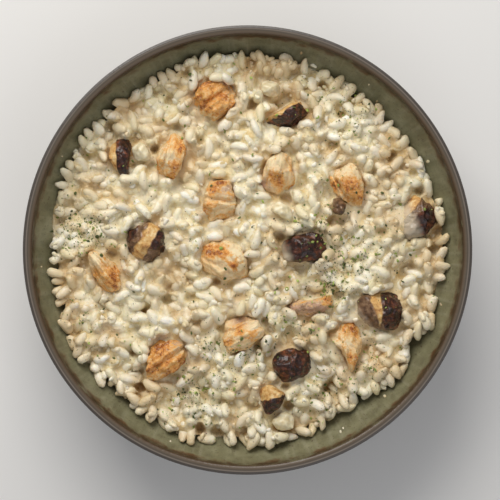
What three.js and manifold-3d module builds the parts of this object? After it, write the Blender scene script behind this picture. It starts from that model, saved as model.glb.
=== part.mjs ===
// Mushroom risotto in a shallow stoneware bowl, millimetres, +Z up.
// The origin is the middle of the foot ring, on the surface that the bowl stands on.
import * as THREE from 'three';
import { mergeVertices } from 'three/addons/utils/BufferGeometryUtils.js';
import Module from 'manifold-3d';

const wasm = await Module();
wasm.setup();

// Bowl
const rimRadius = 100;
const bowlHeight = 55;
const lipWidth = 4;
const lipDrop = 1; // the glazed inside starts this far below the crest of the lip
const floorHeight = 9; // inside of the bowl at its centre
const wallThickness = 4.5;
const footRadius = 46;
const footWidth = 5;
const footRecess = 4.5; // underside of the floor, inside the foot ring
const footFlare = 4; // width of the curve from the wall into the foot ring
const footEdge = 0.6; // rounding where the foot meets the table

// Heap of rice
const heapRadius = 87.5; // mean radius of the edge, where the rice leaves the wall
const heapHeight = 44.5; // top of the heap at its centre
const domeDrop = 3.5; // fall of the heap from its centre to its shoulder
const shoulderPower = 12; // higher is a squarer shoulder at the edge
const bulges = [
  // at and spread in degrees round from +X, out in millimetres
  { at: 0, spread: 10, out: 2.8 },
  { at: 45, spread: 20, out: -0.9 },
  { at: 90, spread: 12, out: 1.2 },
  { at: 120, spread: 10, out: -1 },
  { at: 150, spread: 14, out: 3 },
  { at: 210, spread: 12, out: 4.4 },
  { at: 250, spread: 16, out: 1 },
  { at: 303, spread: 10, out: -5 },
  { at: 331, spread: 7, out: -3.8 },
];
const swells = [
  // long shallow waves of the heap's surface: direction, length and height
  { turn: 20, length: 46, height: 0.5 },
  { turn: 95, length: 38, height: 0.4 },
  { turn: 150, length: 29, height: 0.3 },
];

const segments = 52; // round the bowl and the heap
const gap = 0.3; // between touching pieces
const pocketGap = 0.35; // round each topping, in the rice
const cornerCut = 0.18; // share of each edge that a rounded corner takes

const radians = THREE.MathUtils.degToRad;

// The inside of the bowl is half an ellipsoid. Angle 0 is its rim and 90 the middle of its floor.
const innerRadius = rimRadius - lipWidth;
const innerTop = bowlHeight - lipDrop;
const innerDepth = innerTop - floorHeight;

function insidePoint(angle, clear = 0) {
  const t = radians(angle);
  const height = innerTop - (innerDepth - clear) * Math.sin(t);
  return new THREE.Vector2((innerRadius - clear) * Math.cos(t), height);
}

function insideHeight(radius, clear = 0) {
  const share = radius / (innerRadius - clear);
  return innerTop - (innerDepth - clear) * Math.sqrt(1 - share * share);
}

// Both the bowl's inside and the heap's underside turn at these angles, so their facets run side by side.
const floorAngles = [78, 66, 54, 42, 33];
const wallAngles = [27, 22, 17, 8, 0];

// Distance to the edge of the heap in a direction given in degrees
function heapEdge(angle) {
  let radius = heapRadius;
  for (const bulge of bulges) {
    const away = THREE.MathUtils.euclideanModulo(angle - bulge.at + 180, 360) - 180;
    radius += bulge.out * Math.exp(-((away / bulge.spread) ** 2));
  }
  return radius;
}

// Height of the heap: a low dome with swells that rounds over at its edge down to the wall
function heapSurface(x, y) {
  const radius = Math.hypot(x, y);
  const edge = heapEdge(THREE.MathUtils.radToDeg(Math.atan2(y, x)));
  let top = heapHeight - domeDrop * (radius / heapRadius) ** 2;
  for (const swell of swells) {
    const along = x * Math.cos(radians(swell.turn)) + y * Math.sin(radians(swell.turn));
    top += swell.height * Math.sin((2 * Math.PI * along) / swell.length);
  }
  const foot = insideHeight(edge, gap);
  const share = Math.min(1, radius / edge);
  return foot + (top - foot) * Math.sqrt(1 - share ** shoulderPower);
}

// Closed skin over rings of equal count, listed from the lowest to the highest, with a point at each end
function loft(rings, lowest, highest) {
  const points = [lowest, ...rings.flat(), highest];
  const count = rings[0].length;
  const last = points.length - 1;
  const corners = [];
  for (let i = 0; i < count; i += 1) {
    const next = (i + 1) % count;
    corners.push(0, 1 + next, 1 + i);
    for (let ring = 0; ring < rings.length - 1; ring += 1) {
      const low = 1 + ring * count;
      const high = low + count;
      corners.push(low + i, low + next, high + next, low + i, high + next, high + i);
    }
    const top = 1 + (rings.length - 1) * count;
    corners.push(last, top + i, top + next);
  }
  const geometry = new THREE.BufferGeometry();
  geometry.setFromPoints(points);
  geometry.setIndex(corners);
  return geometry;
}

function toSolid(geometry) {
  const vertProperties = new Float32Array(geometry.attributes.position.array);
  const triVerts = new Uint32Array(geometry.index.array);
  return new wasm.Manifold(new wasm.Mesh({ numProp: 3, vertProperties, triVerts }));
}

function toGeometry(solid) {
  const mesh = solid.getMesh();
  const geometry = new THREE.BufferGeometry();
  geometry.setAttribute('position', new THREE.BufferAttribute(mesh.vertProperties, 3));
  geometry.setIndex(new THREE.BufferAttribute(mesh.triVerts, 1));
  return geometry;
}

// Bowl turned on its axis: up the inside, over the lip, down the wall and round the foot ring
function makeBowl() {
  const profile = [new THREE.Vector2(0, floorHeight)];
  for (const angle of [...floorAngles, ...wallAngles]) {
    profile.push(insidePoint(angle));
  }
  profile.push(new THREE.Vector2(rimRadius - lipWidth * 0.75, bowlHeight - lipDrop * 0.2));
  profile.push(new THREE.Vector2(rimRadius - lipWidth * 0.4, bowlHeight));
  profile.push(new THREE.Vector2(rimRadius - lipWidth * 0.1, bowlHeight - lipDrop * 0.4));
  const outerDepth = innerDepth + wallThickness;
  for (const angle of [0, 14, 27, 40, 52]) {
    const t = radians(angle);
    profile.push(new THREE.Vector2(rimRadius * Math.cos(t), innerTop - outerDepth * Math.sin(t)));
  }
  const flareRadius = footRadius + footFlare;
  const flareHeight = innerTop - outerDepth * Math.sqrt(1 - (flareRadius / rimRadius) ** 2);
  const footInside = footRadius - footWidth;
  profile.push(new THREE.Vector2(flareRadius, flareHeight));
  profile.push(new THREE.Vector2(footRadius + footFlare * 0.2, flareHeight - footFlare * 0.7));
  profile.push(new THREE.Vector2(footRadius, footEdge));
  profile.push(new THREE.Vector2(footRadius - footEdge, 0));
  profile.push(new THREE.Vector2(footInside + footEdge, 0));
  profile.push(new THREE.Vector2(footInside, footEdge));
  profile.push(new THREE.Vector2(footInside - 1, footRecess - 1));
  profile.push(new THREE.Vector2(footInside - 3, footRecess));
  profile.push(new THREE.Vector2(0, footRecess));
  const turned = new THREE.LatheGeometry(profile.reverse(), segments);
  turned.deleteAttribute('normal');
  turned.deleteAttribute('uv');
  return mergeVertices(turned.rotateX(Math.PI / 2));
}

// Heap: its underside lies in the bowl, then its edge, then its domed top
function makeHeap() {
  const ringOf = (place) =>
    Array.from({ length: segments }, (_, i) => {
      // the bowl's own vertices stand at these directions
      const turn = 90 - (360 * i) / segments;
      return place(-turn, radians(-turn));
    });
  const rings = floorAngles.map((angle) => {
    const under = insidePoint(angle, gap);
    return ringOf((_, t) => new THREE.Vector3(under.x * Math.cos(t), under.x * Math.sin(t), under.y));
  });
  for (const share of [1, 0.985, 0.95, 0.88, 0.78, 0.65, 0.5, 0.34, 0.17]) {
    rings.push(
      ringOf((angle, t) => {
        const radius = share * heapEdge(angle);
        const x = radius * Math.cos(t);
        const y = radius * Math.sin(t);
        return new THREE.Vector3(x, y, heapSurface(x, y));
      }),
    );
  }
  const bottom = new THREE.Vector3(0, 0, floorHeight + gap);
  return loft(rings, bottom, new THREE.Vector3(0, 0, heapSurface(0, 0)));
}

// A cut chunk: its outline seen from above, drawn in towards its top and its underside. Its height
// above and below the rice is proud and sunk, and its top falls or rises along X and Y by slope.
const chunkLevels = [
  { height: -1, draw: 0.6 },
  { height: -0.35, draw: 1 },
  { height: 0.55, draw: 0.93 },
  { height: 1, draw: 0.68 },
];
const crown = 0.4; // rise of a chunk's top and underside past its last level

// Corners of an outline, each cut into two points. The outlines are listed clockwise, and a loft takes
// its rings anticlockwise.
function roundedOutline(outline) {
  const points = outline.flatMap((corner, i) => {
    const here = new THREE.Vector2(...corner);
    const before = new THREE.Vector2(...outline.at(i - 1));
    const after = new THREE.Vector2(...outline[(i + 1) % outline.length]);
    return [here.clone().lerp(before, cornerCut), here.clone().lerp(after, cornerCut)];
  });
  return points.reverse();
}

// Each point of an anticlockwise outline moved outwards, square to the edges beside it
function widened(points, grow) {
  return points.map((point, i) => {
    const before = point.clone().sub(points.at(i - 1)).normalize();
    const after = points[(i + 1) % points.length].clone().sub(point).normalize();
    const along = before.clone().add(after).normalize();
    const reach = grow / Math.max(0.5, along.dot(after));
    return new THREE.Vector2(point.x + along.y * reach, point.y - along.x * reach);
  });
}

function makeChunk({ at, outline, proud, sunk, slope = [0, 0] }, grow = 0) {
  const [x, y] = at;
  const base = heapSurface(x, y);
  const round = roundedOutline(outline);
  const heightOf = (level) => (level < 0 ? level * (sunk + grow) : level * (proud + grow));
  const rings = chunkLevels.map(({ height, draw }) => {
    const drawn = round.map((point) => point.clone().multiplyScalar(draw));
    return widened(drawn, grow).map((out) => {
      const lean = Math.max(0, height) * (out.x * slope[0] + out.y * slope[1]);
      return new THREE.Vector3(x + out.x, y + out.y, base + heightOf(height) + lean);
    });
  });
  const bottom = new THREE.Vector3(x, y, base + heightOf(-1) - crown);
  return loft(rings, bottom, new THREE.Vector3(x, y, base + heightOf(1) + crown));
}

// Toppings, each with its middle and the corners of its outline from there
const chicken = [
  { at: [-15.5, 68], proud: 4, sunk: 9, slope: [0.05, -0.1],
    outline: [[-6, 7], [5, 9.5], [10.5, 5], [10, -2], [1.5, -10], [-5, -7.5], [-10, -1]] },
  { at: [-35, 43], proud: 3.6, sunk: 8, slope: [-0.1, 0],
    outline: [[1.5, 12.5], [6, 9.5], [7.5, 1], [5, -7], [0.5, -12], [-7.5, -6]] },
  { at: [-13, 22], proud: 3.4, sunk: 9, slope: [0.05, 0.05],
    outline: [[-5, 9], [4, 10.5], [7.5, 2.5], [7, -9], [-2.5, -10.5], [-7.5, -5]] },
  { at: [14, 35.5], proud: 3.8, sunk: 9, slope: [0.05, -0.05],
    outline: [[-1, 10], [5, 7], [8, -7], [1, -10.5], [-8.5, -7.5], [-6.5, 2]] },
  { at: [44.5, 29], proud: 3.8, sunk: 8, slope: [0.1, -0.05],
    outline: [[-4, 10], [4, 10.5], [7.5, 2.5], [7.5, -9.5], [3, -10], [-7, -1], [-7.5, 6]] },
  { at: [-64.5, -10], proud: 4, sunk: 8, slope: [0.1, -0.1],
    outline: [[-7.5, 9], [-2, 9], [7, 2], [7.5, -7.5], [1.5, -9], [-6.5, 0]] },
  { at: [-9.5, -6], proud: 3.2, sunk: 9, slope: [-0.08, 0.04],
    outline: [[-12, 8], [-6.5, 10.5], [5, 10], [9.5, 0.5], [12.5, -10.5], [0.5, -8], [-12.5, -2]] },
  { at: [-36.5, -49], proud: 4.4, sunk: 9, slope: [0.05, 0.1],
    outline: [[-6.5, 7], [3, 11.5], [10, 4], [8, -3], [-6.5, -11.5], [-10, -8], [-8.5, 0.5]] },
  { at: [-1.5, -38], proud: 3.6, sunk: 9, slope: [0.08, 0.05],
    outline: [[-9.5, 5.5], [-3, 9], [5.5, 8], [10, 0.5], [3.5, -5], [-6, -9.5], [-10, -4]] },
  { at: [43, -44], proud: 3.8, sunk: 9, slope: [0.05, 0.05],
    outline: [[-8.5, 6], [0.5, 13], [6.5, 11], [9, 2], [4, -13], [0.5, -2.5]] },
  { at: [27.5, -24.5], proud: 1.6, sunk: 8,
    outline: [[-11, -1], [-5.5, 2], [4, 2.5], [11.5, 5.5], [11, -1.5], [2, -4.5], [-8.5, -6]] },
];
const mushroom = [
  { at: [18, 62], proud: 4.2, sunk: 8, slope: [0, 0.1],
    outline: [[-11, -4], [5, 6.5], [11, 0], [5.5, -6.5], [-10.5, -6.5]] },
  { at: [-58, 42], proud: 3, sunk: 7, slope: [0.1, 0],
    outline: [[-4, 5.5], [0, 8], [5.5, 7.5], [5, -2.5], [3.5, -8.5], [-0.5, -7], [-5.5, -0.5]] },
  { at: [-45, 4], proud: 4, sunk: 8, slope: [0.05, 0.05],
    outline: [[-8.5, 4.5], [1, 9], [6.5, 5.5], [9.5, -4], [1, -9.5], [-8, -6.5], [-10, -1]] },
  { at: [25.5, 1.5], proud: 3.6, sunk: 8, slope: [0.05, 0],
    outline: [[-10, 2], [-3, 5], [6, 7], [10, -0.5], [9, -5], [0, -7], [-9, -6.5]] },
  { at: [77.5, 15.5], proud: 4, sunk: 5, slope: [0.05, 0],
    outline: [[-6.5, 6.5], [-3, 11], [2.5, 7], [7.5, 3.5], [7, -4], [2.5, -9], [-7, -11], [-8, 0]] },
  { at: [59, -27], proud: 4.2, sunk: 8, slope: [0.08, 0],
    outline: [[-9, 6.5], [8, 9], [11, -1], [9, -9.5], [-4, -8], [-9.5, -1.5]] },
  { at: [20, -52.5], proud: 4, sunk: 8, slope: [-0.05, 0.05],
    outline: [[-6.5, 6.5], [0, 8], [7, 7], [9, 1.5], [7, -4], [-3, -7.5], [-7.5, -3], [-8.5, 2.5]] },
  { at: [11.5, -67.5], proud: 4.2, sunk: 7, slope: [0, 0.1],
    outline: [[-1.5, 7.5], [6.5, 3], [3.5, -3], [-2.5, -7.5], [-5.5, -1], [-7, 4]] },
  { at: [41.5, 20], proud: 2.4, sunk: 5,
    outline: [[-3.5, 3], [0, 3.8], [3, -0.5], [1.5, -4.5], [-3, -3.5]] },
];
const onion = [
  { at: [10.5, 72.5], proud: 3, sunk: 5,
    outline: [[-4, 4], [3.5, 3], [4, -2.5], [0.5, -4], [-4.5, -1.5]] },
  { at: [-48.3, 44.5], proud: 2.6, sunk: 5,
    outline: [[-4.5, 2], [2, 4], [4.5, -0.5], [4, -4], [-2, -4]] },
  { at: [15.5, 18], proud: 2.2, sunk: 5,
    outline: [[-5, 0], [-2, 4.5], [3.5, 1.5], [5, -4.5], [0, -3.5]] },
  { at: [16, -77.5], proud: 2.6, sunk: 4,
    outline: [[-5.5, 0.5], [0.5, 4.5], [5.5, 1.5], [4.5, -4], [-2.5, -4]] },
];

const glaze = new THREE.MeshStandardMaterial({ color: 0x7f7b5c, roughness: 0.3, metalness: 0 });
const rice = new THREE.MeshStandardMaterial({ color: 0xd9cfb4, roughness: 0.4, metalness: 0 });
const seared = new THREE.MeshStandardMaterial({ color: 0xc98f55, roughness: 0.55, metalness: 0 });
const cap = new THREE.MeshStandardMaterial({ color: 0x3a2723, roughness: 0.3, metalness: 0 });
const pale = new THREE.MeshStandardMaterial({ color: 0xd8cfae, roughness: 0.3, metalness: 0 });

const group = new THREE.Group();

function addMesh(name, geometry, material) {
  const mesh = new THREE.Mesh(geometry, material);
  mesh.name = name;
  group.add(mesh);
}

addMesh('bowl', makeBowl(), glaze);
let heap = toSolid(makeHeap());
const kinds = [['chicken', chicken, seared], ['mushroom', mushroom, cap], ['onion', onion, pale]];
for (const [kind, pieces, material] of kinds) {
  pieces.forEach((piece, i) => {
    addMesh(`${kind}_${i + 1}`, makeChunk(piece), material);
    heap = heap.subtract(toSolid(makeChunk(piece, pocketGap)));
  });
}
addMesh('risotto', toGeometry(heap), rice);

export default group;
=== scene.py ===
import math
from functools import partial

import bpy
import numpy as np
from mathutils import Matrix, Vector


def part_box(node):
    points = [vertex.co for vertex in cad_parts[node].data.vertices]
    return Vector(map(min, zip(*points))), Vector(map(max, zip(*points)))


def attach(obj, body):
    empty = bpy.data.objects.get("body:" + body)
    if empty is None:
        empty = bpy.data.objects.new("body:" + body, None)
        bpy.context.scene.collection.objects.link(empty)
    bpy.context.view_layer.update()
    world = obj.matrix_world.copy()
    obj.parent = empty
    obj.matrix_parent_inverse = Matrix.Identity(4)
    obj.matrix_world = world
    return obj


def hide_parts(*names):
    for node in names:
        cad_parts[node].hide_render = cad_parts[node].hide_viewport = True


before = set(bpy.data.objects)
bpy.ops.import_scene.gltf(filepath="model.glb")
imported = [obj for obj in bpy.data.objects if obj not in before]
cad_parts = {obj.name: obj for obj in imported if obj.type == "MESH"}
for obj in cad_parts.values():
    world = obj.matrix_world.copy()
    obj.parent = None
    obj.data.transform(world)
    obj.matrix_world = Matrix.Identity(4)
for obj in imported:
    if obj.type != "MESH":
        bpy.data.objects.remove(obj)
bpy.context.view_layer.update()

# Every size here is in millimetres. A mesh is turned to metres where it is made.
metre = 0.001


def linearColour(hexCode):
    # sRGB hex to linear light: v / 12.92 below 0.04045, else ((v + 0.055) / 1.055) ^ 2.4
    parts = [int(hexCode[i : i + 2], 16) / 255 for i in (1, 3, 5)]
    return [*(v / 12.92 if v <= 0.04045 else ((v + 0.055) / 1.055) ** 2.4 for v in parts), 1.0]


def cloudNoise(points, size, seed):
    # value noise: a random number from -1 to 1 at each point of a lattice of that size, blended between
    # them with the weights 3t^2 - 2t^3
    cell = np.asarray(points, float) / size
    low = np.floor(cell).astype(np.int64)
    part = cell - low
    part = part * part * (3 - 2 * part)
    total = np.zeros(cell.shape[:-1])
    for corner in range(8):
        step = np.array([corner & 1, corner >> 1 & 1, corner >> 2 & 1])
        weight = np.prod(np.where(step, part, 1 - part), axis=-1)
        key = (low + step) @ np.array([73856093, 19349663, 83492791]) + seed * 2654435761
        key = (key ^ (key >> 13)) * 1274126177 & 0x7FFFFFFF
        total += weight * ((key >> 7 & 0xFFFF) / 32767.5 - 1)
    return total


def ramp(value, start, end):
    # 0 before start, 1 past end, 3t^2 - 2t^3 between
    t = np.clip((value - start) / (end - start), 0, 1)
    return t * t * (3 - 2 * t)


def direction(degrees):
    # unit vector (cos, sin)
    return np.array([math.cos(math.radians(degrees)), math.sin(math.radians(degrees))])


def turned(x, y, degrees):
    # distance along a direction, and to the left of it
    c, s = direction(degrees)
    return x * c + y * s, y * c - x * s


def carriedRound(radius, angle, height):
    # the point (radius cos, radius sin, height) for every angle
    return np.stack(np.broadcast_arrays(radius * np.cos(angle), radius * np.sin(angle), height), -1)


def closedFaces(ringCount, ringSize):
    # quads between neighbouring rings of equal size, lowest ring first, and fans to the two points that
    # follow the rings: the low end, then the high end
    i = np.arange(ringSize)
    j = (i + 1) % ringSize
    k = np.arange(ringCount - 1)[:, None] * ringSize
    quads = np.stack([k + i, k + j, k + ringSize + j, k + ringSize + i], -1).reshape(-1, 4)
    lowEnd = ringCount * ringSize
    top = lowEnd - ringSize
    fans = np.concatenate([
        np.stack([np.full(ringSize, lowEnd), j, i], -1),
        np.stack([np.full(ringSize, lowEnd + 1), top + i, top + j], -1),
    ])
    return quads, fans


def makePiece(name, points, faces, material, nodes=(), values=None):
    # points in millimetres, faces as lists of index arrays, values as one number a point by name
    mesh = bpy.data.meshes.new(name)
    everyFace = [face for group in faces for face in group.tolist()]
    mesh.from_pydata((points * metre).tolist(), [], everyFace)
    mesh.polygons.foreach_set("use_smooth", np.ones(len(mesh.polygons), bool))
    for label, numbers in (values or {}).items():
        mesh.attributes.new(label, "FLOAT", "POINT").data.foreach_set("value", numbers.astype(np.float32))
    mesh.materials.append(material)
    mesh.update()
    piece = bpy.data.objects.new(name, mesh)
    bpy.context.scene.collection.objects.link(piece)
    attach(piece, "root")
    if nodes:
        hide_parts(*nodes)
    print("  ", name, sum(len(face) - 2 for face in everyFace), "triangles")


def makeCopies(name, points, ringCount, ringSize, material, nodes=(), values=None):
    # many like shapes in one mesh: points as (copy, point, xyz), values as one number a copy or a point
    count, each = points.shape[:2]
    shift = (np.arange(count) * each)[:, None, None]
    quads, fans = closedFaces(ringCount, ringSize)
    faces = [(quads + shift).reshape(-1, 4), (fans + shift).reshape(-1, 3)]
    spread = {label: np.broadcast_to(numbers.reshape(count, -1), (count, each)).ravel()
              for label, numbers in (values or {}).items()}
    makePiece(name, points.reshape(-1, 3), faces, material, nodes, spread)


def newMaterial(name):
    # an empty material, and addNode bound to its tree
    material = bpy.data.materials.new(name)
    material.use_nodes = True
    material.node_tree.nodes.clear()
    return material, partial(addNode, material.node_tree)


def addNode(tree, kind, inputs=None, stops=None, **settings):
    # one node with its settings, its inputs as numbers, hex colours, or a node or output to link from,
    # and for a colour ramp its stops as (place, hex)
    node = tree.nodes.new("ShaderNode" + kind)
    for label, value in settings.items():
        setattr(node, label, value)
    for label, value in (inputs or {}).items():
        if isinstance(value, bpy.types.Node):
            value = next(output for output in value.outputs if output.enabled)
        if isinstance(value, bpy.types.NodeSocket):
            tree.links.new(value, node.inputs[label])
        else:
            node.inputs[label].default_value = linearColour(value) if isinstance(value, str) else value
    for k, (place, hexCode) in enumerate(stops or []):
        elements = node.color_ramp.elements
        element = elements[k] if k < len(elements) else elements.new(place)
        element.position = place
        element.color = linearColour(hexCode)
    return node


bowl = {
    "lipWidth": 4.0, "lipDrop": 1.0, "floorHeight": 9.0, "wall": 4.5,
    # across the lip: millimetres out from the inner wall, and up from the top
    "lipProfile": [(0.25, -0.62), (0.7, -0.36), (1.3, -0.2), (1.9, -0.14), (2.4, -0.08), (2.8, 0.0),
                   (3.1, -0.02), (3.35, -0.22), (3.65, -0.12), (3.9, -0.4), (4.0, -1.0)],
    "footRadius": 46.0, "footWidth": 5.0, "footRecess": 4.5, "footFlare": 4.0,
    "round": 256,
    "glaze": [(0.33, "#6a664c"), (0.52, "#7b785b"), (0.7, "#8d8a6d")],
    "glazeRun": "#a09c86", "ironSpeck": "#46301f",
    # colours across the lip, by radius: the brown bands are the glaze drawn thin, the lighter band at 98.5 is
    # a painted highlight along the crest, and the dark bands from 98.9 outwards are painted shade on its
    # outer side
    "lip": [(95.0, "#5f452b"), (95.9, "#3a2716"), (96.5, "#54422e"), (97.2, "#605242"), (98.0, "#4f473d"),
            (98.5, "#7d7267"), (98.9, "#46403a"), (99.6, "#514a44"), (100.0, "#3f3934")],
    # dark colours of the outside below the lip, painted shade
    "outside": [(0.35, "#3a3029"), (0.68, "#514639")],
    "clay": "#b59a7d",
    "mottle": 8.0,  # size of the cloudy patches in the glaze
    "run": 1.6, "runsDown": 60.0,  # width of the runs down the wall, and how often they change in a metre
    "speck": 0.9,  # size of the iron specks
    "bandStart": (94.4, 96.0), "bandWander": 7.0,  # where the brown band starts, and how unevenly it drips
    "roughness": (0.24, 0.46),
}
boxLow, boxHigh = (np.array(corner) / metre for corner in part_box("bowl"))
rimRadius = (boxHigh[0] - boxLow[0]) / 2
bowlHeight = boxHigh[2]
innerRadius = rimRadius - bowl["lipWidth"]
innerTop = bowlHeight - bowl["lipDrop"]
innerDepth = innerTop - bowl["floorHeight"]


def wallHeight(radius):
    # height of the inside of the bowl, half an ellipsoid: top - depth * sqrt(1 - (r / inner radius)^2)
    share = np.clip(radius / innerRadius, 0, 1)
    return innerTop - innerDepth * np.sqrt(1 - share**2)


def stonewareMaterial():
    # Stoneware dipped in a reactive glaze and fired: grey olive and cloudy where it lies thick, with pale
    # runs and iron specks, brown where it drew thin over the edge, satin gloss, bare clay under the foot.
    # A lighter band along the crest of the lip is a painted highlight, and its darker outer side is painted
    # shade.
    material, add = newMaterial("stonewareReactiveGlaze")
    place = add("TexCoord").outputs["Object"]
    parts = add("SeparateXYZ", {0: place}).outputs
    flat = add("CombineXYZ", {"X": parts["X"], "Y": parts["Y"]})
    radius = add("VectorMath", {0: flat}, operation="LENGTH")
    cloud = add("TexNoise", {"Vector": place, "Scale": 1 / (bowl["mottle"] * metre), "Detail": 5.0,
                             "Roughness": 0.62})
    specks = add("TexNoise", {"Vector": place, "Scale": 1 / (bowl["speck"] * metre), "Detail": 1.0})

    # the runs are noise squeezed round the bowl, much narrower round it than down the wall
    angle = add("Math", {0: parts["Y"], 1: parts["X"]}, operation="ARCTAN2")
    wrapped = add("CombineXYZ", {"X": angle, "Y": radius, "Z": parts["Z"]})
    squeeze = (innerRadius / bowl["run"], bowl["runsDown"], bowl["runsDown"])
    squeezed = add("VectorMath", {0: wrapped, 1: squeeze}, operation="MULTIPLY")
    runs = add("TexNoise", {"Vector": squeezed, "Scale": 1.0, "Detail": 2.0})

    running = add("MapRange", {0: runs, 1: 0.5, 2: 0.85, 3: 0.0, 4: 0.4})
    spotted = add("MapRange", {0: specks, 1: 0.62, 2: 0.76, 3: 0.0, 4: 0.6})
    glaze = add("ValToRGB", {0: cloud}, stops=bowl["glaze"])
    for share, tone in ((running, bowl["glazeRun"]), (spotted, bowl["ironSpeck"])):
        glaze = add("Mix", {0: share, 6: glaze, 7: tone}, data_type="RGBA")

    # bands across the lip follow the radius, and the first of them wanders; the lighter band at the crest is
    # a painted highlight and the dark bands past it are painted shade
    first, last = bowl["lip"][0][0] - 1, bowl["lip"][-1][0] + 0.4
    across = add("MapRange", {0: radius, 1: first * metre, 2: last * metre})
    stops = [((at - first) / (last - first), tone) for at, tone in bowl["lip"]]
    lip = add("ValToRGB", {0: across}, stops=stops)
    wander = add("Math", {0: cloud, 1: 0.5}, operation="SUBTRACT")
    wandered = add("Math", {0: wander, 1: bowl["bandWander"] * metre, 2: radius}, operation="MULTIPLY_ADD")
    start, end = bowl["bandStart"]
    banded = add("MapRange", {0: wandered, 1: start * metre, 2: end * metre}, interpolation_type="SMOOTHSTEP")

    # the outside is what lies below the lip and faces away from the axis; its dark colour is painted shade
    normal = add("NewGeometry").outputs["Normal"]
    outward = add("VectorMath", {0: normal, 1: flat}, operation="DOT_PRODUCT")
    facing = add("MapRange", {0: outward, 1: 0.0, 2: 0.03})
    below = add("MapRange", {0: parts["Z"], 1: 54.3 * metre, 2: 53.2 * metre})
    outer = add("Math", {0: facing, 1: below}, operation="MULTIPLY")
    outside = add("ValToRGB", {0: cloud}, stops=bowl["outside"])
    foot = add("MapRange", {0: parts["Z"], 1: 2.2 * metre, 2: 1.6 * metre})
    colour = glaze
    for share, over in ((banded, lip), (outer, outside), (foot, bowl["clay"])):
        colour = add("Mix", {0: share, 6: colour, 7: over}, data_type="RGBA")

    gloss = add("MapRange", {0: cloud, 3: bowl["roughness"][0], 4: bowl["roughness"][1]})
    dull = add("Math", {0: foot, 1: 0.5, 2: gloss}, operation="MULTIPLY_ADD")
    ripple = add("Math", {0: runs, 1: cloud}, operation="ADD")
    bump = add("Bump", {"Height": ripple, "Strength": 0.3, "Distance": 0.0004})
    shader = add("BsdfPrincipled", {"Base Color": colour, "Roughness": dull, "Normal": bump, "IOR": 1.5})
    add("OutputMaterial", {"Surface": shader})
    return material


def makeBowl():
    # a profile of radius and height carried round the axis: elliptical inside, a lip with a raised bead
    # and a groove, elliptical outside, and a foot ring
    t = np.radians(np.linspace(88, 0, 44))
    inside = np.stack([innerRadius * np.cos(t), innerTop - innerDepth * np.sin(t)], 1)
    lip = np.array([innerRadius, bowlHeight]) + np.array(bowl["lipProfile"])
    t = np.radians(np.linspace(3, 58, 26))
    outerDepth = innerDepth + bowl["wall"]
    outside = np.stack([rimRadius * np.cos(t), innerTop - outerDepth * np.sin(t)], 1)
    foot, width, recess = bowl["footRadius"], bowl["footWidth"], bowl["footRecess"]
    flare = foot + bowl["footFlare"]
    flareTop = innerTop - outerDepth * math.sqrt(1 - (flare / rimRadius) ** 2)
    bend = np.linspace(0, 1, 7)[:, None]
    start, middle, end = np.array([[flare, flareTop], [foot + 0.3, flareTop - 1.2], [foot, 4.0]])
    footSide = (1 - bend) ** 2 * start + 2 * bend * (1 - bend) * middle + bend**2 * end
    ring = np.array([[foot, 1.2], [foot - 0.3, 0.35], [foot - 1.0, 0.0], [foot - width + 1.0, 0.0],
                     [foot - width + 0.3, 0.35], [foot - width, 1.2], [foot - width - 0.6, recess - 1.4],
                     [foot - width - 1.6, recess - 0.4], [foot - width - 3.2, recess], [20.0, recess]])
    profile = np.concatenate([inside, lip, outside, footSide, ring])[::-1]
    turn = np.linspace(0, 2 * np.pi, bowl["round"], endpoint=False)
    points = carriedRound(profile[:, :1], turn, profile[:, 1:])
    ends = np.array([[0, 0, recess], [0, 0, bowl["floorHeight"]]])
    makePiece("glazedBowl", np.concatenate([points.reshape(-1, 3), ends]),
              closedFaces(len(profile), len(turn)), stonewareMaterial(), ["bowl"])


print("bowl")
makeBowl()

heap = {
    "radius": 87.5, "height": 44.5, "domeDrop": 3.5, "shoulderPower": 12,
    # bulges of the edge: degrees round from +X, spread in degrees, millimetres out
    "bulges": [(0, 10, 2.8), (45, 20, -0.9), (90, 12, 1.2), (120, 10, -1), (150, 14, 3),
               (210, 12, 4.4), (250, 16, 1), (303, 10, -5), (331, 7, -3.8)],
    # smaller bulges where loose grains stand out past the edge
    "fringe": [(15, 8, 2.2), (70, 7, 2.0), (107, 8, 3.0), (130, 7, 2.4), (170, 8, 3.2), (222, 9, -2.2),
               (252, 7, 1.4), (320, 5, 2.0), (341, 6, 0.8)],
    # swells of the surface: direction, length, height
    "swells": [(20, 46, 0.5), (95, 38, 0.4), (150, 29, 0.3)],
    "skirtRounds": 14, "skirtShare": 0.4,  # how widely and how far the rice climbs the toppings
    # lumps that the spoon left: size, height
    "lumps": [(16.0, 2.0), (8.5, 1.5)],
    # dips between lumps: x, y, direction, half length, half width, depth
    "dips": [(-46, -27, 20, 5, 2.0, 3.5), (-63.5, -25, 150, 4, 1.8, 3.2), (55.5, 36.5, 80, 3, 1.6, 3.5),
             (38, -61.5, 40, 4, 1.8, 3.5), (-5, 52, 60, 5, 1.8, 2.5), (66, 20, 30, 4, 1.8, 2.5),
             (-27, -12, 110, 5, 1.8, 2.5), (60, -46, 70, 4, 1.8, 3.0), (5, -22, 20, 5, 1.8, 2.2),
             (-60, 55, 45, 4, 1.8, 2.5), (30, 74, 0, 5, 1.8, 2.4), (-50, -58, 130, 5, 1.8, 2.5)],
}


def heapEdge(angle):
    # distance from the axis to the edge of the heap: a mean radius with a bell-shaped bulge at each angle
    radius = np.full(np.shape(angle), heap["radius"])
    for at, spread, out in heap["bulges"] + heap["fringe"]:
        away = (np.degrees(angle) - at + 180) % 360 - 180
        radius = radius + out * np.exp(-((away / spread) ** 2))
    return radius


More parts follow.
